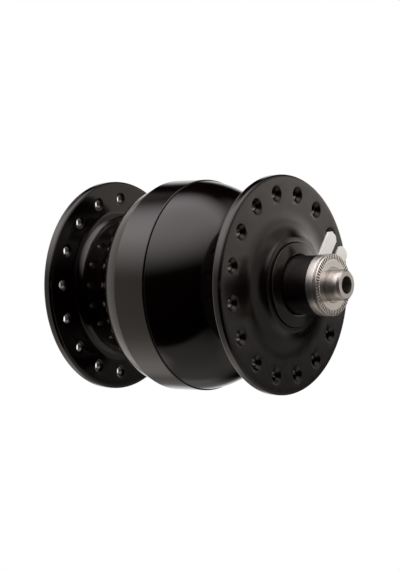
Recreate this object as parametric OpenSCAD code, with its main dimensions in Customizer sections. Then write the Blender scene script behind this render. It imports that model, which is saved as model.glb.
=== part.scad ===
// Bicycle hub dynamo: a claw-pole generator inside a two-piece wheel hub shell.
// Millimetres, +Z up, +X forward. The axle lies along Y and its terminal end points to -Y.
// The origin is on the axle, midway between the two locknut faces.
// Modules are written about their own Z axis, with Z running towards the terminal end.

/* [Axle] */
// Width across the two locknut faces
over_locknut = 100; // [98:0.5:104]
// Length of each axle end beyond its locknut face
axle_stub = 4.5; // [3:0.25:6]
// Diameter of the axle ends that sit in the fork
axle_end_d = 9; // [8.6:0.1:9.6]
// Step up from an axle end to the thread
thread_step = 0.5; // [0.3:0.05:0.8]
// Step up from a bearing's seat to the shoulder beside it
shoulder_step = 1; // [0.8:0.05:1.3]
// Step up from the shoulder to the seat that carries the stator
stator_step = 0.5; // [0.3:0.05:0.8]
// Step up from that seat to the collar that the stator stack rests against
axle_collar_step = 2; // [1.5:0.1:3]
// Thickness of that collar
axle_collar_t = 3; // [2:0.25:4]
// Bore for the quick-release skewer
skewer_bore_d = 5.2; // [5:0.1:5.6]
// Chamfer at the axle's tips
axle_chamfer = 0.6; // [0.3:0.1:1]

/* [Spoke flanges] */
// Distance between the middle planes of the two flanges
flange_spacing = 64; // [62:0.5:66]
// Outer diameter of a flange
flange_d = 64.8; // [62:0.2:68]
// Thickness of a flange
flange_t = 3.2; // [2.8:0.1:3.6]
// Rounding of a flange's rim
flange_edge = 0.9; // [0.4:0.1:1.2]
// Spoke holes in each flange
spoke_holes = 16; // [14:2:20]
// Distance from the rim to the middles of the spoke holes
spoke_inset = 5.4; // [4.5:0.1:6]
// Diameter of a spoke hole
spoke_hole_d = 2.6; // [2.4:0.1:2.8]
// Diameter of a hole's countersink on the outer face
countersink_out_d = 4.6; // [3.6:0.1:5]
// Diameter of a hole's countersink on the inner face
countersink_in_d = 3.8; // [3.2:0.1:4.2]
// Diameter where the flat of a flange's outer face turns up into the collar
dish_d = 41; // [38:0.5:44]
// Wall of the collar round the dust cap
collar_wall = 1.43; // [1.2:0.01:1.8]

/* [Shell] */
// Diameter of the barrel's crown where its full round would top out, in the middle of the hub
barrel_d = 64; // [63:0.25:66]
// Diameter of the circle where the barrel's hollow runs out on the right flange
barrel_root_d = 44.2; // [42:0.2:46]
// Distance from the middle of the hub to the barrel's left face
barrel_left = 11.9; // [11.6:0.1:13]
// Rounding between the crown and the left face
barrel_round = 0.4; // [0.3:0.1:1]
// Diameter of the waisted neck beside the left flange
neck_d = 41; // [39:0.5:43]
// Hollow radius between the neck and the barrel's left face
neck_sweep = 10; // [8:0.25:11]
// Hollow radius between the neck and the left flange
neck_fillet = 3; // [2:0.25:4]
// Hollow radius between the barrel and the right flange
barrel_fillet = 4; // [3.5:0.25:5]
// Thickness of the shell's walls
shell_wall = 2.8; // [2.4:0.1:3.2]
// Position of the seam between the two shells, towards the terminal end
seam_at = 5; // [4:0.25:6]
// Width of the plain straight band to the left of the seam
band_w = 11; // [9:0.25:12]
// Depth of that band below the top of the crown
band_sink = 0.15; // [0.1:0.05:0.25]
// Width of the broken edges of the band and of the seam
line_w = 0.3; // [0.2:0.05:0.5]
// Length of the spigot that joins the two shells
spigot_len = 5; // [3.5:0.25:6]
// Wall of that spigot
spigot_t = 1.3; // [1:0.1:1.5]
// Thickness of the seal ring in the seam
seal_d = 0.7; // [0.5:0.05:0.8]

/* [Bearings] */
// Bearing bore
bearing_bore = 12; // [11.6:0.1:12.4]
// Bearing outer diameter
bearing_od = 24; // [23.6:0.1:24.4]
// Bearing width
bearing_w = 6; // [5.6:0.1:6.6]
// Distance that a bearing stands out past its flange's outer face
bearing_proud = 0.9; // [0.5:0.1:1.2]
// Ball diameter
ball_d = 3.5; // [3.2:0.1:3.7]
// Balls in each bearing
ball_count = 10; // [8:1:11]
// Radial distance between the two rings beside the balls
ring_gap = 2.4; // [2.2:0.1:2.8]
// Thickness of a bearing's seal disc
bearing_seal_t = 0.45; // [0.3:0.05:0.5]
// Thickness of a circlip
clip_t = 1; // [0.8:0.05:1.2]
// Radial width of a circlip
clip_w = 1.5; // [1.2:0.1:1.8]
// Depth that a circlip stands in its groove
clip_depth = 0.75; // [0.5:0.05:0.9]

/* [End pieces] */
// Distance that a dust cap reaches out past its bearing's outer ring
cap_step = 0.45; // [0.3:0.05:0.6]
// Depth of a dust cap's seat below the collar's face
cap_sink = 0.9; // [0.7:0.05:1.2]
// Height of a dust cap's rim above the collar
cap_proud = 0.6; // [0.4:0.1:1]
// Rise of a dust cap from its rim to its lip
cap_rise = 0.8; // [0.4:0.1:1.2]
// Width of the flat lip round a dust cap's hole
cap_lip_w = 0.5; // [0.3:0.1:0.8]
// Outer diameter of the terminal sleeve and of the left spacer
sleeve_d = 17.2; // [16.6:0.1:17.6]
// Step from the bearing's inner ring down to the sleeve's nose that clamps it
nose_step = 0.6; // [0.4:0.05:1]
// Length of that nose
nose_len = 1.7; // [1.4:0.1:1.9]
// Thickness of the insulating washer
washer_t = 0.5; // [0.4:0.05:0.8]
// Diameter of a locknut
locknut_d = 18; // [17.4:0.1:19]
// Thickness of a locknut
locknut_t = 3.8; // [3.4:0.1:4.2]
// Thickness of the locknut's serrated front disc
locknut_disc_t = 0.95; // [0.8:0.05:1.1]
// Width of the groove behind that disc
locknut_groove_w = 0.5; // [0.3:0.05:0.7]
// Depth of that groove
locknut_groove_depth = 0.7; // [0.4:0.05:1]
// Serrations on a locknut's face
serrations = 60; // [40:4:64]
// Inner diameter of the serrated ring
serrated_from_d = 13.8; // [13.4:0.1:14.6]
// Side of the square bar that cuts one serration
serration_cut = 0.45; // [0.3:0.05:0.48]

/* [Terminals] */
// Width of a terminal blade
blade_w = 4.8; // [4.4:0.1:5]
// Thickness of a terminal blade
blade_t = 0.8; // [0.6:0.05:0.9]
// Distance between the middles of the two blades
blade_pitch = 7; // [6.6:0.1:7.4]
// Distance from the axle's centre line to the blades' tips
blade_reach = 16; // [14:0.25:18]
// Chamfer at a blade's tip
blade_chamfer = 1.2; // [0.6:0.1:1.6]
// Turn of the blades from straight up, towards the front
blade_turn = 36.5; // [0:0.5:90]
// Diameter of a lead wire
lead_d = 0.9; // [0.7:0.05:1]
// Distance between the two lead wires
lead_pitch = 2; // [1.6:0.1:2.2]
// Diameter of a lead's bare end at its blade
bare_end_d = 0.7; // [0.5:0.05:0.75]

/* [Generator] */
// Magnetic poles round the rotor
poles = 26; // [22:2:28]
// Position of the generator's middle, towards the terminal end
generator_at = 0.5; // [0:0.1:1]
// Distance from the barrel's largest radius in to the yoke ring
rotor_depth = 3.8; // [3.5:0.05:4.2]
// Thickness of the yoke ring
yoke_t = 1.95; // [1.6:0.05:2.2]
// Thickness of a magnet
magnet_t = 2.5; // [2.2:0.05:2.8]
// Length of the magnets and of the yoke ring along the axle
magnet_len = 18; // [17:0.25:18.5]
// Gap between neighbouring magnets
magnet_gap = 0.5; // [0.3:0.05:0.9]
// Air gap between the claws and the magnets
air_gap = 0.45; // [0.4:0.05:0.7]
// Thickness of a claw
claw_t = 1.85; // [1.6:0.05:2]
// Width of a claw at its root
claw_root_w = 4.4; // [3.6:0.1:4.6]
// Width of a claw at its tip
claw_tip_w = 2.2; // [1.6:0.1:2.6]
// Rounding where a claw bends out of its plate
claw_bend = 1.4; // [0.8:0.1:1.6]
// Distance that a claw's tip stops short of the opposite plate
claw_short = 1; // [0.6:0.1:2]
// Thickness of a claw plate
plate_t = 2.5; // [2:0.1:2.6]
// Length of the stator core between the plates
core_len = 16; // [15:0.25:16.5]
// Wall of the stator core
core_t = 1.65; // [1.4:0.05:2]
// Wall of the coil bobbin
bobbin_t = 0.8; // [0.6:0.05:1]
// Depth of the bobbin's rim above the winding
bobbin_rim = 0.5; // [0.3:0.1:1]
// Width of the stator nut across its flats
stator_nut_af = 19; // [18:0.25:22]
// Thickness of the stator nut
stator_nut_t = 4; // [3:0.25:5]

/* [Hidden] */
$fn = 96;

// Room in a pressed or screwed seat
seat_fit = 0.02;
// Running room round a ball
ball_fit = 0.05;
// Room between pieces that turn past each other
turning_gap = 0.3;
// Room that lets a nut or a sleeve clamp its stack before it meets a step of the axle
clamp_room = 0.2;
// Step by which the thread stops short of the locknut's face
thread_short = 0.1;
// End play of a circlip beside its bearing
clip_play = 0.05;
// Room outside a circlip in its groove
clip_room = 0.1;
// Floor between a circlip's groove and the dust cap's seat
cap_floor = 0.15;
// Straight land that holds the dust cap below the collar's relief
cap_land = 0.12;
// Step that holds a bearing's outer ring clear of its inner parts
housing_lip_gap = 0.4;
// Depth of a spoke hole's countersink for each millimetre that its slope is wide
countersink_fall = 0.6;
// Depth by which the hollow beside the right flange crosses the crown that it runs into
hollow_bite = 0.01;
// Glue line behind the magnets
glue_line = 0.05;
// Room between the yoke ring and the right shell's spigot
spigot_room = 0.05;
// Room past the end of the yoke ring, and past the end of the spigot
rotor_end_room = 0.3;
spigot_end_room = 0.1;
// Room round the seal ring in its corner
seal_room = 0.03;
// Room between the claws and the bobbin, and between the bobbin's rim and a plate's edge
coil_room = 0.6;
plate_step = 0.3;
// Room between the bobbin and the core, and between the bobbin and the plates
bobbin_room = 0.05;
bobbin_short = 0.2;
// Distance from the thread to the blades' inner ends, and from there to the bare ends of the leads
blade_root_gap = 0.9;
solder_gap = 0.2;
// Room beside, under and above the leads in their groove
lead_room = 0.3;
lead_floor = 0.1;
lead_cover = 0.18;
// Distance from the core's end to the leads' window
lead_from_end = 2.4;
// Overshoot of a cut past the face that it opens, and of a form into the one that it joins
over = 1;

// Axle stations, measured from the middle of the hub towards either end
lock_face = over_locknut / 2;
axle_tip = lock_face + axle_stub;
thread_end = lock_face - thread_short;
flange_in = (flange_spacing - flange_t) / 2;
flange_out = (flange_spacing + flange_t) / 2;
bearing_out = flange_out + bearing_proud;
bearing_in = bearing_out - bearing_w;
bearing_mid = (bearing_in + bearing_out) / 2;
clip_in = bearing_out + clip_play;
clip_out = clip_in + clip_t;
cap_seat = clip_out + cap_floor;
collar_face = cap_seat + cap_sink;
collar_h = collar_face - flange_out;
cap_rim = collar_face + cap_proud;
cap_lip = cap_rim + cap_rise;
sleeve_in = bearing_out + nose_len;
locknut_in = lock_face - locknut_t;
sleeve_out = locknut_in - washer_t;

// Axle radii
skewer_r = skewer_bore_d / 2;
axle_end_r = axle_end_d / 2;
thread_r = axle_end_r + thread_step;
bearing_seat_r = bearing_bore / 2;
shoulder_r = bearing_seat_r + shoulder_step;
stator_seat_r = shoulder_r + stator_step;
axle_collar_r = stator_seat_r + axle_collar_step;

// Bearing radii
pitch_r = (bearing_bore + bearing_od) / 4;
inner_land_r = pitch_r - ring_gap / 2;
outer_land_r = pitch_r + ring_gap / 2;
race_r = ball_d / 2 + ball_fit;
seal_seat_depth = 0.5;
seal_lip_gap = 0.15;
cage_half_w = 0.55;
cage_room = 0.25;
cage_horn = 0.7;
housing_r = bearing_od / 2 + seat_fit;
housing_lip_r = outer_land_r + housing_lip_gap;
clip_groove_r = housing_r + clip_depth + clip_room;

// Shell radii and the circles that its outline is made of
barrel_r = barrel_d / 2;
barrel_fillet_s = flange_in - barrel_fillet;
barrel_fillet_r = barrel_root_d / 2;
root_drop = barrel_r - barrel_fillet_r;
hollow_reach = barrel_fillet - hollow_bite;
crown_r = (pow(root_drop, 2) + pow(barrel_fillet_s, 2) - pow(hollow_reach, 2))
    / (2 * (root_drop + hollow_reach));
crown_at = barrel_r - crown_r;
flange_r = flange_d / 2;
dish_r = dish_d / 2;
cap_r = bearing_od / 2 + cap_step;
cap_bore_r = cap_r + seat_fit;
cap_relief = cap_sink - cap_land;
collar_r = cap_bore_r + collar_wall;
dish_fillet = ((dish_r - collar_r) * (dish_r - collar_r) + collar_h * collar_h) / (2 * collar_h);
neck_r = neck_d / 2;
band_at = seam_at - band_w;
band_r = barrel_r - band_sink;
barrel_end = barrel_fillet_s * crown_r / (crown_r + hollow_reach);
left_round_s = barrel_round - barrel_left;
left_round_r = crown_at + sqrt(pow(crown_r - barrel_round, 2) - pow(left_round_s, 2));
left_round_end = left_round_s * crown_r / (crown_r - barrel_round);
sweep_r = neck_r + neck_sweep;
sweep_s = -barrel_left - sqrt(pow(neck_sweep, 2) - pow(max(0, sweep_r - left_round_r), 2));
sleeve_r = sleeve_d / 2;
nose_r = inner_land_r - nose_step;
cap_hole_r = sleeve_r + turning_gap;

// Generator stations and radii, from the rotor inwards
yoke_r = barrel_r - rotor_depth;
spigot_in_r = yoke_r + spigot_room;
spigot_out_r = spigot_in_r + spigot_t;
seal_corner = seal_d / (2 - sqrt(2)) + seal_room;
magnet_out_r = yoke_r - yoke_t - glue_line;
magnet_in_r = magnet_out_r - magnet_t;
claw_out_r = magnet_in_r - air_gap;
claw_in_r = claw_out_r - claw_t;
bobbin_r = claw_in_r - coil_room;
plate_r = bobbin_r - plate_step;
plate_bore_r = stator_seat_r + seat_fit;
core_r = plate_bore_r + core_t;
bobbin_bore_r = core_r + bobbin_room;
winding_in_r = bobbin_bore_r + bobbin_t + seat_fit;
plate_in = core_len / 2;
plate_out = plate_in + plate_t;
bobbin_end = plate_in - bobbin_short;
rotor_left = generator_at - magnet_len / 2;
stator_left = generator_at - plate_out;
stator_right = generator_at + plate_out;

// Terminals and the leads' groove
blade_root = thread_r + blade_root_gap;
blade_s = sleeve_out - blade_t - seat_fit;
blade_mid_s = blade_s + blade_t / 2;
lead_at = sqrt(pow(thread_r - lead_cover - lead_d / 2, 2) - pow(lead_pitch / 2, 2));
lead_groove_w = lead_pitch + lead_d + lead_room;
lead_groove_r = lead_at - lead_d / 2 - lead_floor;
lead_start = generator_at + plate_in - lead_from_end;
lead_end = sleeve_out + washer_t / 2;

// Finishes
black_anodised = [0.07, 0.07, 0.075];
black_plastic = [0.10, 0.10, 0.10];
bright_steel = [0.75, 0.75, 0.74];
dark_steel = [0.42, 0.42, 0.43];
tinned_metal = [0.85, 0.85, 0.83];
copper = [0.72, 0.38, 0.18];
seal_rubber = [0.16, 0.14, 0.13];

// Shared forms

// Turns a piece from its own Z axis onto the hub's axle
module on_axle() {
    rotate([90, 0, 0]) children();
}

// Places a piece that is written for the terminal end at the terminal end (1) or the far end (-1)
module at_end(side) {
    if (side > 0) children();
    else mirror([0, 0, 1]) children();
}

// Plain ring between two radii and two stations
module ring(out_r, in_r, from_s, to_s) {
    translate([0, 0, from_s])
        difference() {
            cylinder(r = out_r, h = to_s - from_s);
            translate([0, 0, -over]) cylinder(r = in_r, h = to_s - from_s + 2 * over);
        }
}

// Rectangle of a half section, from the axle out to a radius
module half(out_r, from_s, to_s) {
    translate([0, from_s]) square([out_r, to_s - from_s]);
}

// Half section of a spoke flange with its dished collar
module flange_section() {
    half(flange_r - flange_edge, flange_in, flange_out);
    half(flange_r, flange_in + flange_edge, flange_out - flange_edge);
    for (edge_s = [flange_in + flange_edge, flange_out - flange_edge])
        translate([flange_r - flange_edge, edge_s]) circle(flange_edge);
    difference() {
        half(dish_r, flange_out - flange_edge, collar_face);
        translate([dish_r, flange_out + dish_fillet]) circle(dish_fillet);
    }
}

// Half section of everything bored out of a shell's end: bearing seat, circlip groove, cap seat
module housing_bore(cavity_s) {
    half(housing_lip_r, cavity_s - over, bearing_in + over);
    half(housing_r, bearing_in, cap_seat + over);
    half(clip_groove_r, clip_in - seat_fit, clip_out + seat_fit);
    half(cap_bore_r, cap_seat, collar_face + over);
    polygon([
        [0, collar_face - cap_relief],
        [cap_bore_r, collar_face - cap_relief],
        [cap_bore_r + cap_relief + over, collar_face + over],
        [0, collar_face + over]
    ]);
}

// Spoke holes of one flange, countersunk on both faces
module spoke_hole_pattern(first_turn) {
    out_depth = countersink_fall * (countersink_out_d - spoke_hole_d) / 2;
    in_depth = countersink_fall * (countersink_in_d - spoke_hole_d) / 2;
    for (k = [0 : spoke_holes - 1])
        rotate([0, 0, first_turn + k * 360 / spoke_holes])
            translate([flange_r - spoke_inset, 0, 0]) {
                translate([0, 0, flange_in - over])
                    cylinder(d = spoke_hole_d, h = flange_t + 2 * over);
                translate([0, 0, flange_out - out_depth])
                    cylinder(d1 = spoke_hole_d, d2 = countersink_out_d + 2 * over, h = out_depth + over);
                translate([0, 0, flange_in - over])
                    cylinder(d1 = countersink_in_d + 2 * over, d2 = spoke_hole_d, h = in_depth + over);
            }
}

// Rectangular slot beside the axle's centre line, on the side where the blades stand
module lead_slot(width, from_r, to_r, from_s, to_s) {
    rotate([0, 0, -blade_turn])
        translate([-width / 2, from_r, from_s]) cube([width, to_r - from_r, to_s - from_s]);
}

// Round bar between two points
module bar(a, b, d) {
    run = b - a;
    level = norm([run[0], run[1]]);
    translate(a)
        rotate([0, atan2(level, run[2]), atan2(run[1], run[0])])
            cylinder(d = d, h = norm(run));
}

// Axle and stator

module axle() {
    color(dark_steel)
        on_axle()
            difference() {
                union() {
                    for (side = [1, -1])
                        at_end(side) axle_half();
                    translate([0, 0, stator_left])
                        cylinder(r = stator_seat_r, h = stator_right - clamp_room - stator_left);
                    translate([0, 0, stator_left - axle_collar_t])
                        cylinder(r = axle_collar_r, h = axle_collar_t);
                }
                translate([0, 0, -axle_tip - over]) cylinder(r = skewer_r, h = 2 * (axle_tip + over));
                lead_slot(lead_groove_w, lead_groove_r, axle_collar_r + over, lead_start, lead_end);
            }
}

// One end of the axle: shoulder, bearing seat, thread and chamfered end
module axle_half() {
    cylinder(r = shoulder_r, h = bearing_in);
    cylinder(r = bearing_seat_r, h = bearing_out - clamp_room);
    cylinder(r = thread_r, h = thread_end);
    cylinder(r = axle_end_r, h = axle_tip - axle_chamfer);
    translate([0, 0, axle_tip - axle_chamfer])
        cylinder(r1 = axle_end_r, r2 = axle_end_r - axle_chamfer, h = axle_chamfer);
}

module stator_core() {
    color(dark_steel)
        on_axle()
            difference() {
                ring(core_r, plate_bore_r, generator_at - plate_in, generator_at + plate_in);
                lead_window();
            }
}

// Window for the leads through the core and the bobbin
module lead_window() {
    lead_slot(lead_groove_w, lead_groove_r, winding_in_r + over, lead_start, lead_start + lead_d + lead_room);
}

// Plate with a crown of tapered claws that reach across the coil, for the terminal side
module claw_plate() {
    claws = poles / 2;
    ring(plate_r, plate_bore_r, plate_in, plate_out);
    for (k = [0 : claws - 1])
        rotate([0, 0, k * 360 / claws]) claw();
}

// One claw: an arm of the plate that bends over the coil and tapers towards its tip
module claw() {
    tip_s = claw_short - plate_in;
    intersection() {
        rotate_extrude() {
            translate([plate_r - over, plate_in]) square([claw_out_r - claw_bend - plate_r + over, plate_t]);
            translate([claw_in_r, tip_s]) square([claw_t, plate_out - claw_bend - tip_s]);
            translate([claw_out_r - claw_bend, plate_out - claw_bend]) circle(claw_bend);
        }
        translate([0, -plate_r / 2, 0])
            rotate([90, 0, 0])
                linear_extrude(claw_out_r)
                    polygon([
                        [-claw_root_w / 2, plate_out],
                        [-claw_root_w / 2, plate_in],
                        [-claw_tip_w / 2, tip_s],
                        [claw_tip_w / 2, tip_s],
                        [claw_root_w / 2, plate_in],
                        [claw_root_w / 2, plate_out]
                    ]);
    }
}

module left_claw_plate() {
    color(dark_steel)
        on_axle()
            translate([0, 0, generator_at])
                rotate([0, 0, 360 / poles]) mirror([0, 0, 1]) claw_plate();
}

module right_claw_plate() {
    color(dark_steel)
        on_axle()
            translate([0, 0, generator_at]) claw_plate();
}

module coil_bobbin() {
    color(black_plastic)
        on_axle()
            difference() {
                translate([0, 0, generator_at])
                    rotate_extrude()
                        difference() {
                            translate([bobbin_bore_r, -bobbin_end])
                                square([bobbin_r - bobbin_bore_r, 2 * bobbin_end]);
                            translate([bobbin_bore_r + bobbin_t, bobbin_t - bobbin_end])
                                square([bobbin_r, 2 * (bobbin_end - bobbin_t)]);
                        }
                lead_window();
            }
}

module coil_winding() {
    half_len = bobbin_end - bobbin_t - seat_fit;
    color(copper)
        on_axle()
            ring(bobbin_r - bobbin_rim, winding_in_r, generator_at - half_len, generator_at + half_len);
}

module stator_nut() {
    color(bright_steel)
        on_axle()
            translate([0, 0, stator_right])
                difference() {
                    cylinder(d = stator_nut_af / cos(30), h = stator_nut_t, $fn = 6);
                    translate([0, 0, -over])
                        cylinder(r = shoulder_r + seat_fit, h = stator_nut_t + 2 * over);
                }
}

// Two leads: up through the core to the winding, along the axle's groove, and out to the blades
module lead_wires() {
    coil_s = lead_start + (lead_d + lead_room) / 2;
    winding_t = sqrt(pow(winding_in_r, 2) - pow(lead_pitch, 2));
    bare_u = lead_groove_w / 2;
    bare_t = blade_root - solder_gap;
    color(copper)
        on_axle()
            rotate([0, 0, -blade_turn])
                for (side = [1, -1]) {
                    u = side * lead_pitch / 2;
                    coil_corner = [u, lead_at, coil_s];
                    blade_corner = [u, lead_at, blade_mid_s];
                    union() {
                        bar(coil_corner, [u, winding_t, coil_s], lead_d);
                        translate(coil_corner) sphere(d = lead_d);
                        bar(coil_corner, blade_corner, lead_d);
                        translate(blade_corner) sphere(d = lead_d);
                        bar(blade_corner, [side * bare_u, bare_t, blade_mid_s], bare_end_d);
                    }
                }
}

// Bearings

module bearing_inner_ring(side) {
    color(bright_steel)
        on_axle()
            at_end(side)
                translate([0, 0, bearing_mid])
                    rotate_extrude()
                        difference() {
                            translate([bearing_seat_r + seat_fit, -bearing_w / 2])
                                square([inner_land_r - bearing_seat_r - seat_fit, bearing_w]);
                            translate([pitch_r, 0]) circle(race_r);
                        }
}

module bearing_outer_ring(side) {
    seal_seat_s = bearing_w / 2 - bearing_seal_t - seat_fit;
    color(bright_steel)
        on_axle()
            at_end(side)
                translate([0, 0, bearing_mid])
                    rotate_extrude()
                        difference() {
                            translate([outer_land_r, -bearing_w / 2])
                                square([bearing_od / 2 - outer_land_r, bearing_w]);
                            translate([pitch_r, 0]) circle(race_r);
                            half(outer_land_r + seal_seat_depth, seal_seat_s, bearing_w);
                            half(outer_land_r + seal_seat_depth, -bearing_w, -seal_seat_s);
                        }
}

module ball_places() {
    for (k = [0 : ball_count - 1])
        rotate([0, 0, k * 360 / ball_count])
            translate([pitch_r, 0, 0]) children();
}

module bearing_balls(side) {
    color(bright_steel)
        on_axle()
            at_end(side)
                translate([0, 0, bearing_mid])
                    ball_places() sphere(d = ball_d);
}

// Crown cage: a ring with round pockets that the balls snap into from the open side
module bearing_cage(side) {
    color(black_plastic)
        on_axle()
            at_end(side)
                translate([0, 0, bearing_mid])
                    difference() {
                        ring(
                            pitch_r + cage_half_w, pitch_r - cage_half_w,
                            bearing_seal_t + cage_room - bearing_w / 2, cage_horn
                        );
                        ball_places() sphere(r = race_r);
                    }
}

// Rubber discs at both faces of a bearing, seated in the outer ring
module bearing_seals(side) {
    color(seal_rubber)
        on_axle()
            at_end(side)
                translate([0, 0, bearing_mid])
                    for (face = [1, -1])
                        at_end(face)
                            ring(
                                outer_land_r + seal_seat_depth - seat_fit, inner_land_r + seal_lip_gap,
                                bearing_w / 2 - bearing_seal_t, bearing_w / 2
                            );
}

// Open spring ring with an eyelet at each end of its gap
module circlip(side) {
    clip_r = housing_r + clip_depth;
    lug_r = clip_w * 0.7;
    lug_at = clip_r - clip_w * 1.1;
    lug_turn = asin(2 * lug_r / lug_at);
    color(dark_steel)
        on_axle()
            at_end(side)
                translate([0, 0, clip_in])
                    linear_extrude(clip_t)
                        difference() {
                            union() {
                                difference() {
                                    circle(clip_r);
                                    circle(clip_r - clip_w);
                                    polygon([
                                        [0, 0],
                                        [-clip_r * tan(lug_turn), -2 * clip_r],
                                        [clip_r * tan(lug_turn), -2 * clip_r]
                                    ]);
                                }
                                for (turn = [-lug_turn, lug_turn])
                                    rotate([0, 0, turn]) translate([0, -lug_at]) circle(lug_r);
                            }
                            for (turn = [-lug_turn, lug_turn])
                                rotate([0, 0, turn]) translate([0, -lug_at]) circle(lug_r * 0.45);
                        }
}

module left_bearing_inner_ring() { bearing_inner_ring(-1); }
module right_bearing_inner_ring() { bearing_inner_ring(1); }
module left_bearing_outer_ring() { bearing_outer_ring(-1); }
module right_bearing_outer_ring() { bearing_outer_ring(1); }
module left_bearing_balls() { bearing_balls(-1); }
module right_bearing_balls() { bearing_balls(1); }
module left_bearing_cage() { bearing_cage(-1); }
module right_bearing_cage() { bearing_cage(1); }
module left_bearing_seals() { bearing_seals(-1); }
module right_bearing_seals() { bearing_seals(1); }
module left_circlip() { circlip(-1); }
module right_circlip() { circlip(1); }

// End pieces

// Half section of a sleeve: a nose against the bearing's inner ring, then the full diameter
module sleeve_section(end_s) {
    difference() {
        union() {
            half(nose_r, bearing_out, sleeve_in + over);
            half(sleeve_r, sleeve_in, end_s);
        }
        half(thread_r + seat_fit, bearing_out - over, end_s + over);
    }
}

// Insulating sleeve with a pocket for each blade and a bay where the leads come up to them
module terminal_sleeve() {
    pocket_w = blade_w + 2 * seat_fit;
    pocket_s = blade_s - seat_fit;
    color(black_plastic)
        on_axle()
            difference() {
                rotate_extrude() sleeve_section(sleeve_out);
                rotate([0, 0, -blade_turn])
                    for (side = [1, -1])
                        translate([side * blade_pitch / 2 - pocket_w / 2, thread_r / 2, pocket_s])
                            cube([pocket_w, sleeve_d, blade_t + over]);
                lead_slot(lead_groove_w, thread_r / 2, blade_root + bare_end_d, pocket_s, sleeve_out + over);
            }
}

// Flat tabs that push-on connectors slide over
module terminal_blades() {
    color(tinned_metal)
        on_axle()
            rotate([0, 0, -blade_turn])
                for (side = [1, -1])
                    translate([side * blade_pitch / 2, 0, blade_s])
                        linear_extrude(blade_t)
                            polygon([
                                [-blade_w / 2, blade_root],
                                [blade_w / 2, blade_root],
                                [blade_w / 2, blade_reach - blade_chamfer],
                                [blade_w / 2 - blade_chamfer, blade_reach],
                                [blade_chamfer - blade_w / 2, blade_reach],
                                [-blade_w / 2, blade_reach - blade_chamfer]
                            ]);
}

module insulating_washer() {
    color(black_plastic)
        on_axle() ring(sleeve_r, thread_r + seat_fit, sleeve_out, locknut_in);
}

// Round nut with a serrated front disc that bites into the fork end
module locknut(side) {
    nut_r = locknut_d / 2;
    rim = locknut_disc_t * 0.7;
    disc_in = lock_face - locknut_disc_t;
    groove_in = disc_in - locknut_groove_w;
    color(bright_steel)
        on_axle()
            at_end(side)
                difference() {
                    rotate_extrude()
                        difference() {
                            union() {
                                half(nut_r, locknut_in, groove_in);
                                half(nut_r - locknut_groove_depth, groove_in - over, disc_in + rim);
                                half(nut_r, disc_in, lock_face - rim);
                                half(nut_r - rim, disc_in, lock_face);
                                translate([nut_r - rim, lock_face - rim]) circle(rim);
                            }
                            half(thread_r + seat_fit, locknut_in - over, lock_face + over);
                        }
                    for (k = [0 : serrations - 1])
                        rotate([0, 0, k * 360 / serrations])
                            translate([serrated_from_d / 2, 0, lock_face])
                                rotate([45, 0, 0])
                                    translate([0, -serration_cut / 2, -serration_cut / 2])
                                        cube([nut_r, serration_cut, serration_cut]);
                }
}

module right_locknut() { locknut(1); }
module left_locknut() { locknut(-1); }

module left_spacer() {
    color(black_anodised)
        on_axle()
            at_end(-1) rotate_extrude() sleeve_section(locknut_in);
}

// Shallow cone pressed into the collar, with running room round the sleeve
module dust_cap(side) {
    rim_chamfer = 0.2;
    color(black_anodised)
        on_axle()
            at_end(side)
                rotate_extrude()
                    polygon([
                        [cap_hole_r, cap_seat],
                        [cap_r, cap_seat],
                        [cap_r, cap_rim - rim_chamfer],
                        [cap_r - rim_chamfer, cap_rim],
                        [cap_hole_r + cap_lip_w, cap_lip],
                        [cap_hole_r, cap_lip]
                    ]);
}

module left_dust_cap() { dust_cap(-1); }
module right_dust_cap() { dust_cap(1); }

// Shell and rotor

// Half section of the crowned barrel between two stations
module crown(offset_in, from_s, to_s) {
    intersection() {
        translate([crown_at, 0]) circle(crown_r - offset_in);
        half(barrel_r, from_s, to_s);
    }
}

// Band, left shoulder, waisted neck and left flange in one turned piece
module left_shell() {
    color(black_anodised)
        on_axle()
            difference() {
                rotate_extrude()
                    difference() {
                        left_shell_outline();
                        mirror([0, 1]) housing_bore(-sweep_s);
                        left_shell_cavity();
                    }
                mirror([0, 0, 1]) spoke_hole_pattern(0);
            }
}

module left_shell_outline() {
    mirror([0, 1]) flange_section();
    band_section();
    crown(0, left_round_end, band_at + over);
    half(left_round_r, -barrel_left, band_at + over);
    intersection() {
        translate([left_round_r, left_round_s]) circle(barrel_round);
        half(barrel_r, -barrel_left, left_round_s);
    }
    difference() {
        half(left_round_r, sweep_s, over - barrel_left);
        translate([sweep_r, sweep_s]) circle(neck_sweep);
    }
    half(neck_r, -flange_in - over, over - barrel_left);
    difference() {
        half(neck_r + neck_fillet, -flange_in - over, neck_fillet - flange_in);
        translate([neck_r + neck_fillet, neck_fillet - flange_in]) circle(neck_fillet);
    }
}

// Straight band with broken edges, where the right shell's crown meets it and where it steps down
module band_section() {
    polygon([
        [0, band_at],
        [band_r - line_w, band_at],
        [band_r, band_at + line_w],
        [band_r, seam_at - line_w],
        [band_r - line_w, seam_at],
        [0, seam_at]
    ]);
}

module left_shell_cavity() {
    cavity_left = -bearing_in + shell_wall;
    half(yoke_r + seat_fit, rotor_left - seat_fit, seam_at + over);
    half(spigot_out_r + seat_fit, seam_at - spigot_len - spigot_end_room, seam_at + over);
    half(neck_r - shell_wall, cavity_left, rotor_left);
    difference() {
        half(magnet_in_r + magnet_t / 2, sweep_s, rotor_left);
        translate([sweep_r, sweep_s]) circle(neck_sweep + shell_wall);
    }
    polygon([
        [spigot_out_r, seam_at - seal_corner],
        [spigot_out_r + seat_fit, seam_at - seal_corner],
        [spigot_out_r + seal_corner + over, seam_at + over],
        [spigot_out_r, seam_at + over]
    ]);
}

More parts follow.
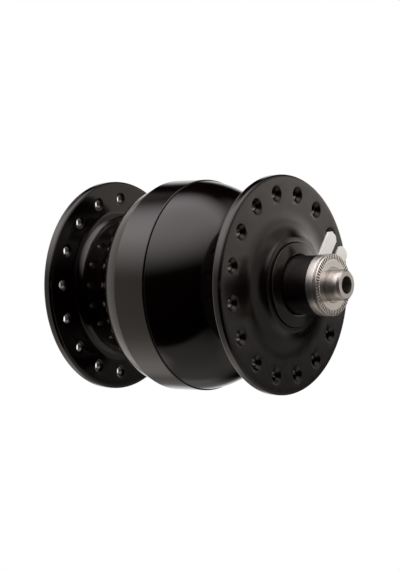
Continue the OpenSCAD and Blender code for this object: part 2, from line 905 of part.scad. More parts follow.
// Barrel, right flange and the spigot that screws into the left shell
module right_shell() {
    color(black_anodised)
        on_axle()
            difference() {
                rotate_extrude()
                    difference() {
                        right_shell_outline();
                        housing_bore(seam_at);
                        right_shell_cavity();
                        seam_edge();
                    }
                spoke_hole_pattern(180 / spoke_holes);
            }
}

module right_shell_outline() {
    flange_section();
    crown(0, seam_at, barrel_end + over);
    difference() {
        half(barrel_fillet_r, barrel_end, flange_in + over);
        translate([barrel_fillet_r, barrel_fillet_s]) circle(barrel_fillet);
    }
    half(spigot_out_r, seam_at - spigot_len, seam_at + over);
}

// Broken edge of the crown at the seam
module seam_edge() {
    seam_r = crown_at + sqrt(pow(crown_r, 2) - pow(seam_at, 2));
    translate([seam_r, seam_at]) rotate([0, 0, 45]) square(line_w, center = true);
}

module right_shell_cavity() {
    crown(shell_wall, seam_at, bearing_in - shell_wall);
    half(spigot_in_r, seam_at - spigot_len - over, generator_at + magnet_len / 2 + rotor_end_room);
}

module shell_seal() {
    color(seal_rubber)
        on_axle()
            rotate_extrude()
                translate([spigot_out_r + seal_d / 2 + seat_fit, seam_at - seal_d / 2 - seat_fit])
                    circle(d = seal_d - seat_fit);
}

module yoke_ring() {
    color(dark_steel)
        on_axle() ring(yoke_r, yoke_r - yoke_t, rotor_left, rotor_left + magnet_len);
}

// Ring of magnets with alternating poles, parted by thin gaps
module magnets() {
    color(bright_steel)
        on_axle()
            difference() {
                ring(magnet_out_r, magnet_in_r, rotor_left, rotor_left + magnet_len);
                for (k = [0 : poles - 1])
                    rotate([0, 0, (k + 0.5) * 360 / poles])
                        translate([magnet_in_r - over, -magnet_gap / 2, rotor_left - over])
                            cube([magnet_t + 2 * over, magnet_gap, magnet_len + 2 * over]);
            }
}

axle();
stator_core();
left_claw_plate();
right_claw_plate();
coil_bobbin();
coil_winding();
stator_nut();
lead_wires();
left_bearing_inner_ring();
right_bearing_inner_ring();
terminal_sleeve();
terminal_blades();
insulating_washer();
right_locknut();
left_spacer();
left_locknut();
left_bearing_cage();
left_bearing_balls();
right_bearing_cage();
right_bearing_balls();
left_shell();
right_shell();
shell_seal();
yoke_ring();
magnets();
left_bearing_outer_ring();
right_bearing_outer_ring();
left_bearing_seals();
right_bearing_seals();
left_circlip();
right_circlip();
left_dust_cap();
right_dust_cap();
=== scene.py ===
"""Hub dynamo: the camera, the studio and the look of every piece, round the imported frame.

Stations are millimetres along the axle from the middle of the hub, towards the terminal end.
Sizes are millimetres too, except in the camera and the floor, which are in metres.
"""
from math import atan2, cos, hypot, pi, radians, sin, sqrt

import bmesh
import bpy
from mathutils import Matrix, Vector


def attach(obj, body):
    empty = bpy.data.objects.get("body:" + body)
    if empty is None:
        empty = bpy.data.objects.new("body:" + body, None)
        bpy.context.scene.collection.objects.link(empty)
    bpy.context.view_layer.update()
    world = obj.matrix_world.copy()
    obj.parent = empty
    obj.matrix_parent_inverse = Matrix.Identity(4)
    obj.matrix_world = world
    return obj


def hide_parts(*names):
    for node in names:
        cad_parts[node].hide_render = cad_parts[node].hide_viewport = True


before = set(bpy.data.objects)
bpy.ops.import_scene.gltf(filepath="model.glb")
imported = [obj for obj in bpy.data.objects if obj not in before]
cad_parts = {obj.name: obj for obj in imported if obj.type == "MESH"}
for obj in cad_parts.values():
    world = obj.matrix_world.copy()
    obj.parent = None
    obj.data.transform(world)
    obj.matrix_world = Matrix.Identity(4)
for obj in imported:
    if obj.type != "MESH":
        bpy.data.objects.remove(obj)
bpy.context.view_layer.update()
scene = bpy.context.scene


# Camera. It stands level with the axle, in front of the terminal end and to its left,
# with a long lens, where the photograph was taken from.
view_line = Vector((0.7873, 0.6166, 0))
camera = bpy.data.objects.new("camera", bpy.data.cameras.new("camera"))
camera.location = (-0.4503, -0.3534, -0.0001)
camera.rotation_euler = view_line.to_track_quat("-Z", "Y").to_euler()
camera.data.lens = 118.9
camera.data.sensor_width = 36
camera.data.shift_x = 0.0021
camera.data.shift_y = 0.0005
scene.collection.objects.link(camera)
scene.camera = camera


# Floor. A wide sheet of white paper far enough below the hub, which hangs by its axle,
# that it stays a plain white ground; the light that comes up from below is part of the studio.
floor_level = -0.125
floor_half = 1.6
floor_mesh = bpy.data.meshes.new("floor")
floor_corners = [(-1, -1), (1, -1), (1, 1), (-1, 1)]
floor_mesh.from_pydata(
    [(x * floor_half, y * floor_half, floor_level) for x, y in floor_corners], [], [(0, 1, 2, 3)]
)
floor = bpy.data.objects.new("floor", floor_mesh)
floor.visible_diffuse = False
floor.visible_glossy = False
floor.visible_shadow = False
scene.collection.objects.link(floor)

paper = bpy.data.materials.new("white_paper")
paper.use_nodes = True
paper_nodes, paper_links = paper.node_tree.nodes, paper.node_tree.links
paper_nodes.clear()
paper_white = paper_nodes.new("ShaderNodeEmission")
paper_white.inputs["Color"].default_value = (1, 1, 1, 1)
paper_out = paper_nodes.new("ShaderNodeOutputMaterial")
paper_links.new(paper_white.outputs["Emission"], paper_out.inputs["Surface"])
floor_mesh.materials.append(paper)


# Studio. Soft panels stand all round the hub and the camera stands in the dark: a large sheet
# overhead that comes down in front, walls on the left and right, a glowing table below, and a
# white background that draws a pale line along the edges of the black pieces.
scene.view_settings.view_transform = "Standard"
studio = bpy.data.worlds.new("studio")
studio.use_nodes = True
scene.world = studio
studio_nodes, studio_links = studio.node_tree.nodes, studio.node_tree.links
studio_nodes.clear()
studio_place = studio_nodes.new("ShaderNodeTexCoord")
upward = Vector((0, 0, 1))
to_camera = -view_line
to_right = view_line.cross(upward)


def edge(start, end, nearer=0, right=0, up=0):
    """Soft edge of a panel, dark at the start and full at the end, along a direction from the hub."""
    along = studio_nodes.new("ShaderNodeVectorMath")
    along.operation = "DOT_PRODUCT"
    along.inputs[1].default_value = to_camera * nearer + to_right * right + upward * up
    studio_links.new(studio_place.outputs["Generated"], along.inputs[0])
    step = studio_nodes.new("ShaderNodeMapRange")
    step.interpolation_type = "SMOOTHSTEP"
    step.inputs["From Min"].default_value = start
    step.inputs["From Max"].default_value = end
    studio_links.new(along.outputs["Value"], step.inputs["Value"])
    return step.outputs["Result"]


def panel(brightness, colour, *edges):
    """Panel of the studio, as bright as its edges let it be in each direction."""
    light = studio_nodes.new("ShaderNodeBackground")
    light.inputs["Color"].default_value = (*colour, 1)
    strength = None
    for limit in edges:
        product = studio_nodes.new("ShaderNodeMath")
        product.operation = "MULTIPLY"
        studio_links.new(limit, product.inputs[0])
        if strength is None:
            product.inputs[1].default_value = brightness
        else:
            studio_links.new(strength, product.inputs[1])
        strength = product.outputs["Value"]
    studio_links.new(strength, light.inputs["Strength"])
    return light.outputs["Background"]


cool, warm, white = (1.0, 0.95, 0.99), (1.0, 0.95, 0.91), (1, 1, 1)
overhead_sheet = panel(
    2.75, cool,
    edge(0.25, 0.97, up=1, right=-0.2),
    edge(0.32, 0.95, up=1, nearer=1, right=-0.5),
    edge(0.52, 0.46, right=1),
)
left_walls = [
    panel(
        0.60, warm,
        edge(-0.2, -0.45, right=1), edge(0.42, 0.17, nearer=1), edge(0.475, 0.275, nearer=1, up=-0.42),
        edge(0.78, 0.6, up=1),
    ),
    panel(0.40, warm, edge(-0.2, -0.45, right=1), edge(0.1, -0.5, nearer=1), edge(0.78, 0.6, up=1)),
]
right_walls = [
    panel(0.36, warm, edge(0.35, 0.65, right=1), edge(0.80, 0.60, nearer=1), edge(0, 0.2, nearer=1)),
    panel(
        0.42, warm,
        edge(0.25, 0.5, right=1), edge(0.2, 0.4, up=1), edge(0.45, 0.2, nearer=1),
        edge(-0.6, -0.3, nearer=1),
    ),
    panel(
        0.28, warm,
        edge(0.3, 0.6, right=1), edge(0.2, 0, nearer=1), edge(-0.75, -0.3, nearer=1),
        edge(0.11, 0.03, up=1, nearer=-0.6), edge(-0.28, -0.33, nearer=1, up=1.6),
    ),
]
right_strips = [
    panel(
        0.68, warm,
        edge(0.25, 0.5, right=1), edge(0.25, -0.1, nearer=1), edge(-0.06, 0.02, up=1),
        edge(-0.2, -0.13, up=1, nearer=0.5), edge(0.55, 0.25, up=1),
    ),
    panel(
        1.25, warm,
        edge(0.42, 0.55, right=1), edge(-0.24, -0.32, nearer=1),
        edge(0, 0.04, up=1), edge(0.25, 0.08, up=1),
    ),
    panel(
        0.65, warm,
        edge(0.42, 0.55, right=1), edge(-0.35, -0.6, nearer=1),
        edge(-0.06, 0.04, up=1), edge(0.45, 0.25, up=1),
    ),
]
tables = [
    panel(0.45, warm, edge(-0.6, -1.0, up=1), edge(0.06, -0.06, nearer=1, right=-0.75, up=0.57)),
    panel(0.35, warm, edge(0.3, 0.1, right=1), edge(-0.5, -0.65, nearer=1), edge(-0.3, -0.5, up=1)),
]
white_background = panel(1.0, white, edge(-0.86, -0.96, nearer=1))
shine = overhead_sheet
for light in left_walls + right_walls + right_strips + tables + [white_background]:
    total = studio_nodes.new("ShaderNodeAddShader")
    studio_links.new(shine, total.inputs[0])
    studio_links.new(light, total.inputs[1])
    shine = total.outputs["Shader"]
backdrop = studio_nodes.new("ShaderNodeBackground")
backdrop.inputs["Color"].default_value = (*white, 1)
seen = studio_nodes.new("ShaderNodeLightPath")
either = studio_nodes.new("ShaderNodeMixShader")
studio_out = studio_nodes.new("ShaderNodeOutputWorld")
studio_links.new(seen.outputs["Is Camera Ray"], either.inputs["Fac"])
studio_links.new(shine, either.inputs[1])
studio_links.new(backdrop.outputs["Background"], either.inputs[2])
studio_links.new(either.outputs["Shader"], studio_out.inputs["Surface"])


# Axle. A stepped bar of steel, turned and drilled through for the skewer, with its bare ends
# rounded off. Everything else is clamped or carried on it.
def lathe_finish(name, colour, metallic, roughness, lines=0.1, blotch=0.15, worn_and_lit=None):
    """Turned surface: fine tool lines, slightly uneven colour and gloss, and edges lighter from wear
    and a painted highlight.
    """
    patches_per_metre, smears_per_metre, lines_per_metre, line_depth = 180, 420, 3500, 0.00002
    edge_begins, edge_lightest, gloss_spread = 0.53, 0.62, 0.2
    finish = bpy.data.materials.new(name)
    finish.use_nodes = True
    nodes, links = finish.node_tree.nodes, finish.node_tree.links
    shader = nodes["Principled BSDF"]
    shader.inputs["Metallic"].default_value = metallic
    place = nodes.new("ShaderNodeTexCoord")

    patches = nodes.new("ShaderNodeTexNoise")
    patches.inputs["Scale"].default_value = patches_per_metre
    patches.inputs["Detail"].default_value = 5
    links.new(place.outputs["Object"], patches.inputs["Vector"])
    tint = nodes.new("ShaderNodeMix")
    tint.data_type = "RGBA"
    tint.inputs["A"].default_value = (*(c * (1 - blotch) for c in colour), 1)
    tint.inputs["B"].default_value = (*(min(1, c * (1 + blotch)) for c in colour), 1)
    links.new(patches.outputs["Fac"], tint.inputs["Factor"])
    paint = tint.outputs["Result"]

    # Convex edges, found by pointiness, get a lighter colour: partly rubbed wear, partly a painted
    # highlight.
    if worn_and_lit:
        edges = nodes.new("ShaderNodeNewGeometry")
        lit_edge_share = nodes.new("ShaderNodeMapRange")
        lit_edge_share.inputs["From Min"].default_value = edge_begins
        lit_edge_share.inputs["From Max"].default_value = edge_lightest
        links.new(edges.outputs["Pointiness"], lit_edge_share.inputs["Value"])
        worn_lit_edge = nodes.new("ShaderNodeMix")
        worn_lit_edge.data_type = "RGBA"
        worn_lit_edge.inputs["B"].default_value = (*worn_and_lit, 1)
        links.new(lit_edge_share.outputs["Result"], worn_lit_edge.inputs["Factor"])
        links.new(paint, worn_lit_edge.inputs["A"])
        paint = worn_lit_edge.outputs["Result"]
    links.new(paint, shader.inputs["Base Color"])

    smears = nodes.new("ShaderNodeTexNoise")
    smears.inputs["Scale"].default_value = smears_per_metre
    smears.inputs["Detail"].default_value = 6
    links.new(place.outputs["Object"], smears.inputs["Vector"])
    gloss = nodes.new("ShaderNodeMapRange")
    gloss.inputs["To Min"].default_value = roughness * (1 - gloss_spread)
    gloss.inputs["To Max"].default_value = roughness * (1 + gloss_spread)
    links.new(smears.outputs["Fac"], gloss.inputs["Value"])
    links.new(gloss.outputs["Result"], shader.inputs["Roughness"])

    # The tool's path is the distance from the axle plus the distance along it, so the lines run round.
    split = nodes.new("ShaderNodeSeparateXYZ")
    links.new(place.outputs["Object"], split.inputs["Vector"])
    ring = nodes.new("ShaderNodeVectorMath")
    ring.operation = "LENGTH"
    flat = nodes.new("ShaderNodeCombineXYZ")
    links.new(split.outputs["X"], flat.inputs["X"])
    links.new(split.outputs["Z"], flat.inputs["Z"])
    links.new(flat.outputs["Vector"], ring.inputs[0])
    path = nodes.new("ShaderNodeMath")
    path.operation = "ADD"
    links.new(split.outputs["Y"], path.inputs[0])
    links.new(ring.outputs["Value"], path.inputs[1])
    cut = nodes.new("ShaderNodeTexNoise")
    cut.noise_dimensions = "1D"
    cut.inputs["Scale"].default_value = lines_per_metre
    cut.inputs["Detail"].default_value = 3
    links.new(path.outputs["Value"], cut.inputs["W"])
    bump = nodes.new("ShaderNodeBump")
    bump.inputs["Strength"].default_value = lines
    bump.inputs["Distance"].default_value = line_depth
    links.new(cut.outputs["Fac"], bump.inputs["Height"])
    links.new(bump.outputs["Normal"], shader.inputs["Normal"])
    return finish


def dress(finish, *nodes):
    """Gives CAD nodes whose shape is right their finish."""
    for node in nodes:
        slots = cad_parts[node].data.materials
        slots.clear()
        slots.append(finish)


axle_steel = lathe_finish("axle_steel", (0.60, 0.57, 0.53), 1, 0.35, lines=0.08)
dress(axle_steel, "axle")


# Stator. A tube and two claw plates of soft iron, pressed from sheet and clamped on the axle
# by a plain nut; the claws of the two plates stand between each other round the coil.
soft_iron = lathe_finish("soft_iron", (0.33, 0.32, 0.31), 1, 0.48, lines=0.3, blotch=0.25)
dress(soft_iron, "stator_core", "left_claw_plate", "right_claw_plate")
nut_steel = lathe_finish("nut_steel", (0.55, 0.54, 0.50), 1, 0.34, lines=0.3)
dress(nut_steel, "stator_nut")


# Coil. Enamelled copper wire wound on a moulded bobbin, with two leads that run along a groove
# in the axle to the terminals.
coil_copper = lathe_finish("coil_copper", (0.62, 0.25, 0.09), 1, 0.32, lines=1.0, blotch=0.25)
dress(coil_copper, "coil_winding", "lead_wires")
bobbin_nylon = lathe_finish("bobbin_nylon", (0.05, 0.05, 0.05), 0, 0.5, lines=0.05)
dress(bobbin_nylon, "coil_bobbin")


# Rotor. A rolled ring of soft iron that is pressed into the shell, with a ring of nickel-plated
# magnets glued inside it.
magnet_nickel = lathe_finish("magnet_nickel", (0.58, 0.56, 0.52), 1, 0.22, lines=0.05)
dress(soft_iron, "yoke_ring")
dress(magnet_nickel, "magnets")


# Bearings. Ground rings and balls of hard steel and a nylon cage behind rubber seals, each held
# in its housing by a circlip of blackened spring steel. A rubber ring seals the shells' joint.
bearing_steel = lathe_finish("bearing_steel", (0.62, 0.62, 0.61), 1, 0.14, lines=0.15)
seal_rubber = lathe_finish("seal_rubber", (0.035, 0.030, 0.028), 0, 0.62, lines=0.2, blotch=0.3)
spring_steel = lathe_finish("spring_steel", (0.10, 0.10, 0.11), 1, 0.36, lines=0.2)
for end in ("left", "right"):
    dress(bearing_steel, end + "_bearing_inner_ring", end + "_bearing_outer_ring")
    dress(bearing_steel, end + "_bearing_balls")
    dress(bobbin_nylon, end + "_bearing_cage")
    dress(seal_rubber, end + "_bearing_seals")
    dress(spring_steel, end + "_circlip")
dress(seal_rubber, "shell_seal")


# Shells. Two aluminium turnings that screw together round the rotor, with a dished spoke flange
# at each outer end. Both are drilled and countersunk for the spokes and anodised black.
# The lighter edge colour of the black pieces is partly wear and partly a painted highlight.
black_barrel = lathe_finish(
    "black_barrel", (0.0022, 0.0007, 0.0006), 0, 0.12, lines=0.08, worn_and_lit=(0.012, 0.010, 0.009)
)
black_face = lathe_finish(
    "black_face", (0.0036, 0.0019, 0.0015), 0, 0.20, lines=0.12, worn_and_lit=(0.016, 0.014, 0.013)
)
anodised_shine = (1, 0.96, 0.92, 1)
for black in (black_barrel, black_face):
    black.node_tree.nodes["Principled BSDF"].inputs["Specular Tint"].default_value = anodised_shine
spoke_holes, steps_per_hole, tile_side_steps = 16, 16, 6
shell_sides = spoke_holes * steps_per_hole
flange_in, flange_out, flange_r, flange_edge = 30.4, 33.6, 32.4, 0.9
tile_in_r, tile_out_r, spoke_circle_r = 23.9, 30.2, 27.0
hole_r, sink_ease, sink_lip = 1.3, 0.14, 0.03
dish_r, dish_sweep, dish_steps, collar_face, collar_edge_r = 23.5, 3.667, 20, 36.6, 13.9
cap_bore_r, cap_relief, cap_seat, housing_r = 12.47, 0.2, 35.7, 12.02
clip_groove_r, clip_groove_in, clip_groove_out = 12.87, 34.53, 35.57
bearing_in, housing_lip_r = 28.5, 10.6
crown_r, crown_at = 28.044, 3.956


def arc(centre_r, centre_s, radius, start, end, steps):
    """Points (radius, station) along an arc; angles in degrees from outwards towards the terminals."""
    points = []
    for k in range(steps + 1):
        turn = radians(start + (end - start) * k / steps)
        points.append((centre_r + radius * cos(turn), centre_s + radius * sin(turn)))
    return points


def on_axle(radius, turn, station):
    """Place in the frame, in metres, of a point at a radius, a turn in radians and a station."""
    return (radius * cos(turn) / 1000, -station / 1000, radius * sin(turn) / 1000)


def middle_of(face, side):
    """Radius and station of a face's middle; the side is 1 at the terminal end and -1 at the other."""
    x, y, z = face.center
    return hypot(x, z) * 1000, -y * 1000 * side


def piece(name, verts, faces, finish, body, node):
    """Smooth-shaded object with true edges that rides on a body and stands for a CAD node."""
    weld_gap, sharp_turn = 1e-7, radians(28)
    mesh = bpy.data.meshes.new(name)
    mesh.from_pydata(verts, [], faces)
    form = bmesh.new()
    form.from_mesh(mesh)
    bmesh.ops.remove_doubles(form, verts=form.verts, dist=weld_gap)
    bmesh.ops.recalc_face_normals(form, faces=form.faces)
    form.to_mesh(mesh)
    form.free()
    mesh.polygons.foreach_set("use_smooth", [True] * len(mesh.polygons))
    mesh.set_sharp_from_angle(angle=sharp_turn)
    mesh.materials.append(finish)
    made = bpy.data.objects.new(name, mesh)
    scene.collection.objects.link(made)
    normals = made.modifiers.new("flat_faces_stay_flat", "WEIGHTED_NORMAL")
    normals.keep_sharp = True
    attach(made, body)
    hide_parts(node)
    return made


def crown(station):
    """Radius of the barrel's crown at a station."""
    return crown_at + sqrt(crown_r ** 2 - station ** 2)


def crown_run(start, end, steps):
    """Points along the crown from one station to another."""
    stations = [start + (end - start) * k / steps for k in range(steps + 1)]
    return [(crown(s), s) for s in stations]


def flange_end():
    """Outline of a flange from its inner face, round the rim and the dished collar, to the bearing."""
    outline = [(tile_in_r, flange_in), (tile_out_r, flange_in)]
    outline += arc(flange_r - flange_edge, flange_in + flange_edge, flange_edge, -90, 0, 7)
    outline += arc(flange_r - flange_edge, flange_out - flange_edge, flange_edge, 0, 90, 7)
    outline += [(tile_out_r, flange_out), (tile_in_r, flange_out)]
    for k in range(dish_steps):
        share = k / dish_steps
        r = dish_r + (collar_edge_r - dish_r) * share
        outline.append((r, flange_out + (collar_face - flange_out) * share ** dish_sweep))
    outline += [
        (collar_edge_r + 0.05, collar_face - 0.06), (collar_edge_r - 0.07, collar_face),
        (cap_bore_r + cap_relief, collar_face), (cap_bore_r, collar_face - cap_relief),
        (cap_bore_r, cap_seat), (housing_r, cap_seat), (housing_r, clip_groove_out),
        (clip_groove_r, clip_groove_out), (clip_groove_r, clip_groove_in),
        (housing_r, clip_groove_in), (housing_r, bearing_in), (housing_lip_r, bearing_in),
    ]
    return outline


def countersink(face_at, inward, mouth_r, mouth_cut, mouth_fall, depth):
    """Rings (radius, station) of an eased countersink, from a flange's face down to the plain hole."""
    falls = [
        (mouth_r + sink_ease, 0), (mouth_r + sink_lip, sink_lip), (mouth_r - mouth_cut, mouth_fall),
        (hole_r + 0.10, depth - 0.18), (hole_r + 0.02, depth - 0.10), (hole_r, depth),
    ]
    return [(r, face_at + fall * inward) for r, fall in falls]


hole_rings = countersink(
    flange_out, inward=-1, mouth_r=2.38, mouth_cut=0.10, mouth_fall=0.14, depth=1.14
)
hole_rings += reversed(countersink(
    flange_in, inward=1, mouth_r=1.9, mouth_cut=0.12, mouth_fall=0.09, depth=0.48
))


def flanged_shell(name, outline, side, first_turn, node):
    """Spins a shell's outline and drills its flange: each spoke hole sits in its own tile."""
    count = len(outline)
    phase = first_turn - pi / spoke_holes
    verts = []
    for k in range(shell_sides):
        turn = phase + 2 * pi * k / shell_sides
        verts += [on_axle(r, turn, s * side) for r, s in outline]
    tiled = [
        i for i in range(count)
        if {round(outline[i][0], 6), round(outline[(i + 1) % count][0], 6)} == {tile_in_r, tile_out_r}
    ]
    faces = []
    for k in range(shell_sides):
        here, there = k * count, (k + 1) % shell_sides * count
        for i in range(count):
            if i in tiled:
                continue
            j = (i + 1) % count
            faces.append((here + i, here + j, there + j, there + i))

    # Points down the sides that neighbouring tiles share, on both faces of the flange.
    tile_edges, tile_sides = {}, {}
    for i in tiled:
        level = round(outline[i][1], 6)
        tile_edges[level] = (i, i + 1) if outline[i][0] < outline[i + 1][0] else (i + 1, i)
        for hole in range(spoke_holes):
            turn = phase + 2 * pi * hole / spoke_holes
            tile_sides[level, hole] = []
            for step in range(1, tile_side_steps):
                r = tile_in_r + (tile_out_r - tile_in_r) * step / tile_side_steps
                tile_sides[level, hole].append(len(verts))
                verts.append(on_axle(r, turn, level * side))

    for hole in range(spoke_holes):
        first = hole * steps_per_hole
        middle = phase + 2 * pi * (hole + 0.5) / spoke_holes
        loops = {}
        for level, (low, high) in tile_edges.items():
            column = [(first + k) % shell_sides * count for k in range(steps_per_hole + 1)]
            loop = [c + low for c in column]
            loop += tile_sides[level, (hole + 1) % spoke_holes]
            loop += [c + high for c in reversed(column)]
            loop += reversed(tile_sides[level, hole])
            loops[level] = loop
        turns = []
        for v in loops[flange_out]:
            x, z = verts[v][0] * 1000, verts[v][2] * 1000
            across = x * cos(middle) + z * sin(middle) - spoke_circle_r
            along = -x * sin(middle) + z * cos(middle)
            turns.append(atan2(along, across))
        wall = [loops[flange_out]]
        for radius, station in hole_rings:
            ring = []
            for turn in turns:
                out = spoke_circle_r + radius * cos(turn)
                round_by = radius * sin(turn)
                r, swing = hypot(out, round_by), atan2(round_by, out)
                ring.append(len(verts))
                verts.append(on_axle(r, middle + swing, station * side))
            wall.append(ring)
        wall.append(loops[flange_in])
        for before, after in zip(wall, wall[1:]):
            faces += [(before[i], before[i - 1], after[i - 1], after[i]) for i in range(len(turns))]

    shell = piece(name, verts, faces, black_barrel, "hub_shell", node)
    shell.data.materials.append(black_face)
    for face in shell.data.polygons:
        radius, station = middle_of(face, side)
        if radius > cap_bore_r and station > flange_out - flange_edge:
            face.material_index = 1


# The right shell: barrel, hollow behind the flange, flange, cavity and the spigot of the joint.
seam_at, seam_ease, seam_lean, crown_start = 5.0, 0.3, 10.9, 5.5
barrel_end, hollow_r, hollow_s, hollow_radius, hollow_start = 23.1, 22.1, 26.4, 4, -145.6
shell_wall, rotor_bore_end, spigot_in_r, spigot_out_r, spigot_end = 2.8, 9.8, 28.25, 29.55, 0.0
cavity_r, cavity_stations = crown_r - shell_wall, (24.3, 23, 21, 18, 15, 12, rotor_bore_end)
seam_r = crown(seam_at + seam_ease) - seam_ease * cos(radians(seam_lean))
right_outline = arc(seam_r, seam_at + seam_ease, seam_ease, -90, seam_lean, 6)
right_outline += crown_run(crown_start, barrel_end, 30)
right_outline += arc(hollow_r, hollow_s, hollow_radius, hollow_start, -270, 14)[1:]
right_outline += flange_end()
right_outline += [(crown_at + sqrt(cavity_r ** 2 - s ** 2), s) for s in cavity_stations]
right_outline += [
    (spigot_in_r, rotor_bore_end), (spigot_in_r, spigot_end),
    (spigot_out_r, spigot_end), (spigot_out_r, seam_at),
]
flanged_shell("right_shell_turning", right_outline, 1, pi / spoke_holes, "right_shell")

# The left shell, counted towards its own end: band, shoulder, waisted neck, flange and cavity.
band_r, band_end, band_ease, shoulder_end = 31.85, 6.0, 0.3, 11.6
shoulder_r, shoulder_s, shoulder_radius, shoulder_lean = 29.09, 11.5, 0.4, 24.6
sweep_r, sweep_s, sweep_radius, sweep_start = 30.5, 21.8, 10, -98.1
neck_fillet_r, neck_fillet_s, neck_fillet = 23.5, 27.4, 3
end_wall_s, end_wall_r, sweep_in_radius, sweep_in_end = 25.7, 17.7, sweep_radius + shell_wall, -115.7
ledge_r, ledge_s, rotor_bore_r, joint_floor = 24.95, 8.52, 28.22, 0.1
joint_r, joint_bevel_s, joint_mouth_r = 29.57, -3.8, 30.78
left_outline = arc(band_r - band_ease, band_ease - seam_at, band_ease, -90, 0, 5)
left_outline += arc(band_r - band_ease, band_end - band_ease, band_ease, 0, 90, 5)
left_outline += crown_run(band_end, shoulder_end, 14)
left_outline += arc(shoulder_r, shoulder_s, shoulder_radius, shoulder_lean, 90, 6)
left_outline += arc(sweep_r, sweep_s, sweep_radius, sweep_start, -180, 22)[1:]
left_outline += arc(neck_fillet_r, neck_fillet_s, neck_fillet, -180, -270, 12)
left_outline += flange_end()
left_outline += [(housing_lip_r, end_wall_s), (end_wall_r, end_wall_s)]
left_outline += arc(sweep_r, sweep_s, sweep_in_radius, -180, sweep_in_end, 10)
left_outline += [
    (ledge_r, ledge_s), (rotor_bore_r, ledge_s), (rotor_bore_r, joint_floor),
    (joint_r, joint_floor), (joint_r, joint_bevel_s), (joint_mouth_r, -seam_at),
]
flanged_shell("left_shell_turning", left_outline, -1, 0, "left_shell")


# Dust caps. Thin turned discs of black aluminium, pressed into the collars in front of the
# bearings and dished up to a lip round the sleeve.
cap_r, cap_hole_r, cap_rim, cap_lip, cap_lip_w = 12.45, 8.9, 37.2, 38.0, 0.5
cap_bevel_w, cap_bevel_h, cap_ease, cap_sides = 0.15, 0.1, 0.12, 192


def eased(corners, ease, steps=3):
    """Closed outline with each corner rounded by about the ease, or by half its shorter side."""
    outline = []
    count = len(corners)
    for k, corner in enumerate(corners):
        ends = []
        for other in (corners[k - 1], corners[(k + 1) % count]):
            side = hypot(other[0] - corner[0], other[1] - corner[1])
            share = min(ease, side * 0.45) / side
            ends.append([corner[i] + (other[i] - corner[i]) * share for i in (0, 1)])
        for step in range(steps + 1):
            t = step / steps
            outline.append(tuple(
                (1 - t) ** 2 * ends[0][i] + 2 * t * (1 - t) * corner[i] + t ** 2 * ends[1][i]
                for i in (0, 1)
            ))
    return outline


def spun(outline, sides):
    """Points and faces of a closed outline (radius, station) spun round the axle."""
    count = len(outline)
    verts = [on_axle(r, 2 * pi * k / sides, s) for k in range(sides) for r, s in outline]
    faces = []
    for k in range(sides):
        here, there = k * count, (k + 1) % sides * count
        for i in range(count):
            j = (i + 1) % count
            faces.append((here + i, here + j, there + j, there + i))
    return verts, faces


cap_corners = [
    (cap_hole_r, cap_seat), (cap_r, cap_seat), (cap_r, cap_rim - cap_bevel_h),
    (cap_r - cap_bevel_w, cap_rim), (cap_hole_r + cap_lip_w, cap_lip), (cap_hole_r, cap_lip),
]
for end, side in (("left", -1), ("right", 1)):
    cap_outline = [(r, s * side) for r, s in eased(cap_corners, cap_ease)]
    cap_verts, cap_faces = spun(cap_outline, cap_sides)
    piece(
        end + "_dust_cap_disc", cap_verts, cap_faces, black_face, "hub_shell",
        end + "_dust_cap",
    )


# Terminal sleeve, insulating washer and left spacer. Matt black tubes over the axle's thread that
# clamp the bearings. The sleeve is moulded with a slot for each blade, which the washer closes;
# the spacer at the other end is turned in one piece, with a nose that bears on the inner ring.
sleeve_black = lathe_finish("sleeve_black", (0.0022, 0.0012, 0.0012), 0, 0.36, lines=0.15)
sleeve_shader = sleeve_black.node_tree.nodes["Principled BSDF"]
sleeve_shader.inputs["Specular Tint"].default_value = (1, 0.86, 0.78, 1)
dress(sleeve_black, "terminal_sleeve")
tube_bore, tube_r, tube_sides = 5.02, 8.6, 128
sleeve_out, locknut_in, washer_ease = 45.7, 46.2, 0.12
nose_r, nose_in, nose_out, spacer_ease = 7.2, 34.5, 36.2, 0.2
washer_corners = [
    (tube_bore, sleeve_out), (tube_r, sleeve_out), (tube_r, locknut_in), (tube_bore, locknut_in),
]
washer_verts, washer_faces = spun(eased(washer_corners, washer_ease), tube_sides)
piece(
    "insulating_ring", washer_verts, washer_faces, sleeve_black, "axle_assembly",
    "insulating_washer",
)
spacer_corners = [
    (tube_bore, nose_in), (nose_r, nose_in), (nose_r, nose_out),
    (tube_r, nose_out), (tube_r, locknut_in), (tube_bore, locknut_in),
]
spacer_outline = [(r, -s) for r, s in eased(spacer_corners, spacer_ease)]
spacer_verts, spacer_faces = spun(spacer_outline, tube_sides)
piece(
    "left_spacer_tube", spacer_verts, spacer_faces, sleeve_black, "axle_assembly",
    "left_spacer",
)


# Terminal blades. Two flat tabs stamped from tinned brass, with their corners cut off and their
# cut edges duller than their faces, held between the sleeve and the locknut.
blade_tin = lathe_finish("blade_tin", (0.97, 0.965, 0.95), 1, 0.33, lines=0.05, blotch=0.05)
blade_edge = lathe_finish("blade_edge", (0.55, 0.545, 0.53), 1, 0.45, lines=0.05, blotch=0.05)
blade_w, blade_root, blade_reach, blade_cut = 4.8, 5.9, 16.0, 1.2
blade_back, blade_front, blade_offset, blade_turn = 44.88, 45.68, 3.5, radians(36.5)
blade_bevel, blade_bevel_shape, blade_face_slope = 0.14, 0.6, 0.9
blade_outline = [
    (-blade_w / 2, blade_root), (blade_w / 2, blade_root), (blade_w / 2, blade_reach - blade_cut),
    (blade_w / 2 - blade_cut, blade_reach), (blade_cut - blade_w / 2, blade_reach),
    (-blade_w / 2, blade_reach - blade_cut),
]
blade_form = bmesh.new()
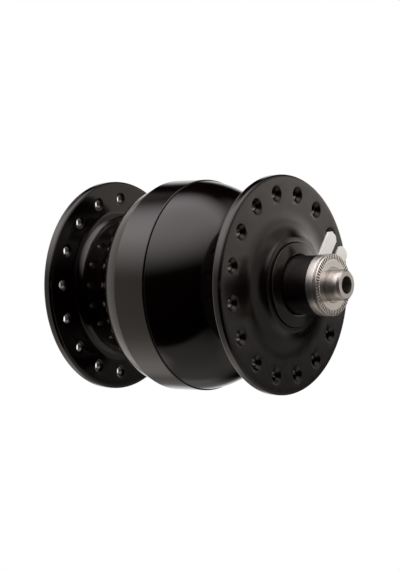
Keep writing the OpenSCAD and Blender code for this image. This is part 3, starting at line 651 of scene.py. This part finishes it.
for offset in (blade_offset, -blade_offset):
    back_face = []
    for across, out in blade_outline:
        beside = across + offset
        x = beside * cos(blade_turn) + out * sin(blade_turn)
        z = out * cos(blade_turn) - beside * sin(blade_turn)
        back_face.append(blade_form.verts.new((x / 1000, -blade_back / 1000, z / 1000)))
    sheet_face = blade_form.faces.new(back_face)
    raised = bmesh.ops.extrude_face_region(blade_form, geom=[sheet_face])
    lifted = [v for v in raised["geom"] if isinstance(v, bmesh.types.BMVert)]
    bmesh.ops.translate(blade_form, verts=lifted, vec=(0, (blade_back - blade_front) / 1000, 0))
bmesh.ops.bevel(
    blade_form, geom=blade_form.edges[:], offset=blade_bevel / 1000, segments=2,
    profile=blade_bevel_shape, affect="EDGES",
)
# The bevel gives its points and faces in no fixed order, so they are put in one.
blade_verts = sorted(tuple(v.co) for v in blade_form.verts)
blade_points = {point: number for number, point in enumerate(blade_verts)}
blade_faces = []
for face in blade_form.faces:
    loop = [blade_points[tuple(v.co)] for v in face.verts]
    first = loop.index(min(loop))
    blade_faces.append(loop[first:] + loop[:first])
blade_faces.sort()
blade_form.free()
tabs = piece(
    "terminal_tabs", blade_verts, blade_faces, blade_tin, "axle_assembly",
    "terminal_blades",
)
tabs.data.materials.append(blade_edge)
for face in tabs.data.polygons:
    if abs(face.normal[1]) < blade_face_slope:
        face.material_index = 1


# Locknuts. Round steel nuts, turned and nickel plated, with a groove behind the front disc and
# a ring of fine teeth rolled into its face to grip the fork, with painted shade between the teeth.
nickel_nut = lathe_finish("nickel_nut", (0.75, 0.71, 0.655), 1, 0.33, lines=0.08)
# Painted shade: a dark material stands in for the shade down in the valleys between the teeth.
tooth_painted_shade = lathe_finish("tooth_painted_shade", (0.11, 0.097, 0.084), 0, 0.6, lines=0.1)
nut_r, nut_bore, nut_bore_bevel, nut_ease, rim_round = 9.0, 5.02, 0.2, 0.2, 0.25
lock_face, disc_in, groove_in, groove_r = 50.0, 49.0, 48.65, 8.65
teeth, tooth_wave, tooth_depth, painted_shade_from = 60, (0, 0, 1, 0), 0.35, 0.1
teeth_in_r, teeth_out_r, tooth_run_out = 7.2, 8.7, 0.15
nut_back = eased([
    (nut_bore, locknut_in), (nut_r, locknut_in), (nut_r, groove_in), (groove_r, groove_in),
    (groove_r, disc_in), (nut_r, disc_in),
], nut_ease)
bore_corner_points = 4  # the bore's own corner stays sharp, so these are left out
nut_rim = arc(nut_r - rim_round, lock_face - rim_round, rim_round, 0, 75, 5)
tooth_line = [(teeth_out_r, lock_face), (teeth_in_r + tooth_run_out, lock_face)]
nut_front = [
    (teeth_in_r, lock_face), (nut_bore + nut_bore_bevel, lock_face),
    (nut_bore, lock_face - nut_bore_bevel), (nut_bore, locknut_in),
]
nut_profile = nut_back[bore_corner_points:] + nut_rim + tooth_line + nut_front
nut_sides = teeth * len(tooth_wave)
for end, side in (("left", -1), ("right", 1)):
    nut_verts = []
    for k in range(nut_sides):
        for point in nut_profile:
            dip = tooth_depth * tooth_wave[k % len(tooth_wave)] if point in tooth_line else 0
            nut_verts.append(on_axle(point[0], 2 * pi * k / nut_sides, (point[1] - dip) * side))
    nut_faces = spun(nut_profile, nut_sides)[1]
    nut = piece(
        end + "_locknut_turning", nut_verts, nut_faces, nickel_nut, "axle_assembly",
        end + "_locknut",
    )
    # Painted shade: the walls of the tooth valleys get the dark material.
    nut.data.materials.append(tooth_painted_shade)
    for face in nut.data.polygons:
        radius, station = middle_of(face, side)
        if teeth_in_r < radius < teeth_out_r and painted_shade_from < lock_face - station < tooth_depth:
            face.material_index = 1
